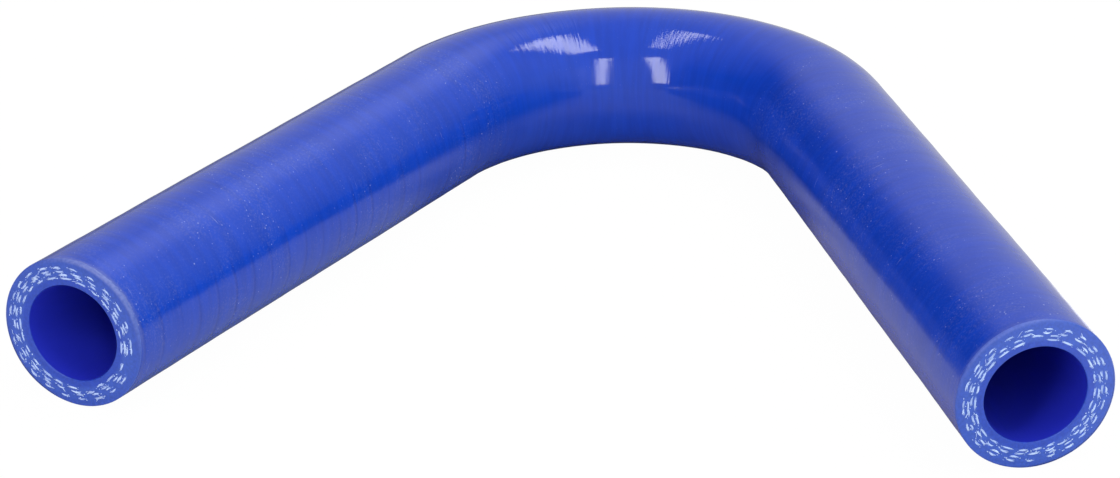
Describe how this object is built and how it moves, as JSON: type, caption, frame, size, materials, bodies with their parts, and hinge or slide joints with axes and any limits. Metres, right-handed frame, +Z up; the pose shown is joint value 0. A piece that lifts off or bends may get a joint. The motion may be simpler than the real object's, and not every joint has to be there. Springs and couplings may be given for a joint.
{
  "type": "silicone elbow hose",
  "caption": "Moulded silicone coolant hose: a round reinforced tube that bends back into a narrow V, with straight legs and open trimmed ends.",
  "frame": {"origin": "middle of the footprint, on the surface that the hose lies on", "axes": "+Z up, square to the plane of the bend; +Y towards the outside of the bend; the legs open towards -Y, end A on -X and end B on +X"},
  "size_m": [0.172, 0.139, 0.0248],
  "materials": {
    "silicone": "glossy blue silicone",
    "yarn": "cut white polyester yarn"
  },
  "bodies": {
    "root": {"elbow_hose": "silicone"}
  },
  "joints": []
}
